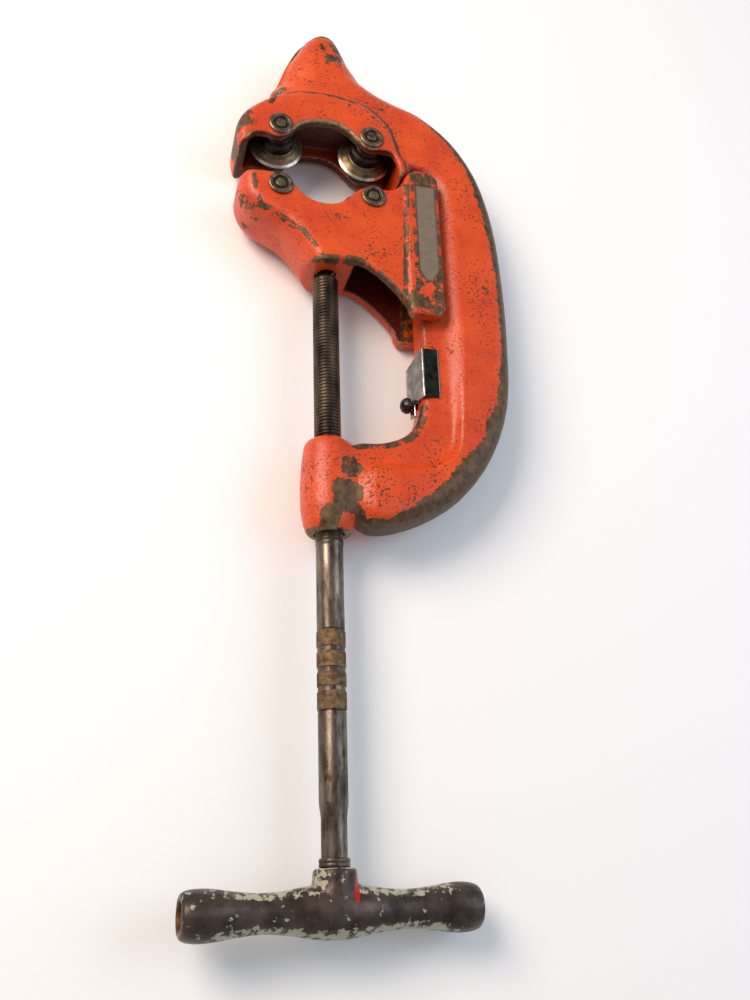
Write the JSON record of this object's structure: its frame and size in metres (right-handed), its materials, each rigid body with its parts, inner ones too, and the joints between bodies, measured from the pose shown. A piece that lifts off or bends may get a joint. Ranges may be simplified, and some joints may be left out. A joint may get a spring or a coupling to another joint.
{
  "type": "pipe cutter",
  "caption": "Wheel pipe cutter: cast C-frame with a forked jaw, slide housing with more cutter wheels, long feed screw and cast T-handle.",
  "frame": {"origin": "middle of the bottom of the bounding box, under the flat back of the tool", "axes": "+Y from the T-handle along the feed screw to the nose, +X towards the frame's spine, +Z out of the front face"},
  "size_m": [0.2296, 0.6758, 0.0555],
  "materials": {
    "enamelled_casting": "orange-red enamel over a sand casting, chipped to brown-grey iron",
    "screw_steel": "dark oiled turned steel, worn bright on the shank",
    "handle_casting": "dark brown iron casting with remains of pale paint",
    "wheel_steel": "tan hardened tool steel with a bright edge",
    "pin_steel": "worn steel",
    "ring_steel": "dark spring steel",
    "plated_sheet": "bright plated sheet steel",
    "dark_screw": "dark plated screw"
  },
  "bodies": {
    "frame_body": {"frame": "enamelled_casting", "rail_clip": "plated_sheet", "clip_screw": "dark_screw", "wheel_pin_upper_left": "pin_steel", "wheel_pin_upper_right": "pin_steel", "retaining_ring_upper_left": "ring_steel", "retaining_ring_upper_right": "ring_steel"},
    "housing_body": {"slide_housing": "enamelled_casting", "thrust_disc": "wheel_steel", "screw_pin_left": "pin_steel", "screw_pin_right": "pin_steel", "wheel_pin_lower_left": "pin_steel", "wheel_pin_lower_right": "pin_steel", "retaining_ring_lower_left": "ring_steel", "retaining_ring_lower_right": "ring_steel"},
    "screw_body": {"feed_screw": "screw_steel", "t_handle": "handle_casting", "handle_collar": "handle_casting", "handle_pin": "pin_steel"},
    "wheel_upper_left_body": {"cutter_wheel_upper_left": "wheel_steel"},
    "wheel_upper_right_body": {"cutter_wheel_upper_right": "wheel_steel"},
    "wheel_lower_left_body": {"cutter_wheel_lower_left": "wheel_steel"},
    "wheel_lower_right_body": {"cutter_wheel_lower_right": "wheel_steel"}
  },
  "joints": [
    {"name": "housing_slide", "type": "slide", "parent": "frame_body", "child": "housing_body", "axis": [0, -1, 0], "range_m": [0, 0.1016]},
    {"name": "screw_turn", "type": "hinge", "parent": "housing_body", "child": "screw_body", "pos_m": [-0.02258, 0.01685, 0.028], "axis": [0, -1, 0], "range_deg": [0, 14400]},
    {"name": "wheel_upper_left_spin", "type": "hinge", "parent": "frame_body", "child": "wheel_upper_left_body", "pos_m": [-0.06018, 0.22935, 0.028], "axis": [0, 0, 1], "continuous": true},
    {"name": "wheel_upper_right_spin", "type": "hinge", "parent": "frame_body", "child": "wheel_upper_right_body", "pos_m": [0.01007, 0.22935, 0.028], "axis": [0, 0, 1], "continuous": true},
    {"name": "wheel_lower_left_spin", "type": "hinge", "parent": "housing_body", "child": "wheel_lower_left_body", "pos_m": [-0.06018, 0.17435, 0.028], "axis": [0, 0, 1], "continuous": true},
    {"name": "wheel_lower_right_spin", "type": "hinge", "parent": "housing_body", "child": "wheel_lower_right_body", "pos_m": [0.01007, 0.17435, 0.028], "axis": [0, 0, 1], "continuous": true}
  ],
  "couplings": [
    {"joint": "housing_slide", "follows": "screw_turn", "m_per_rad": 0.00040425}
  ]
}
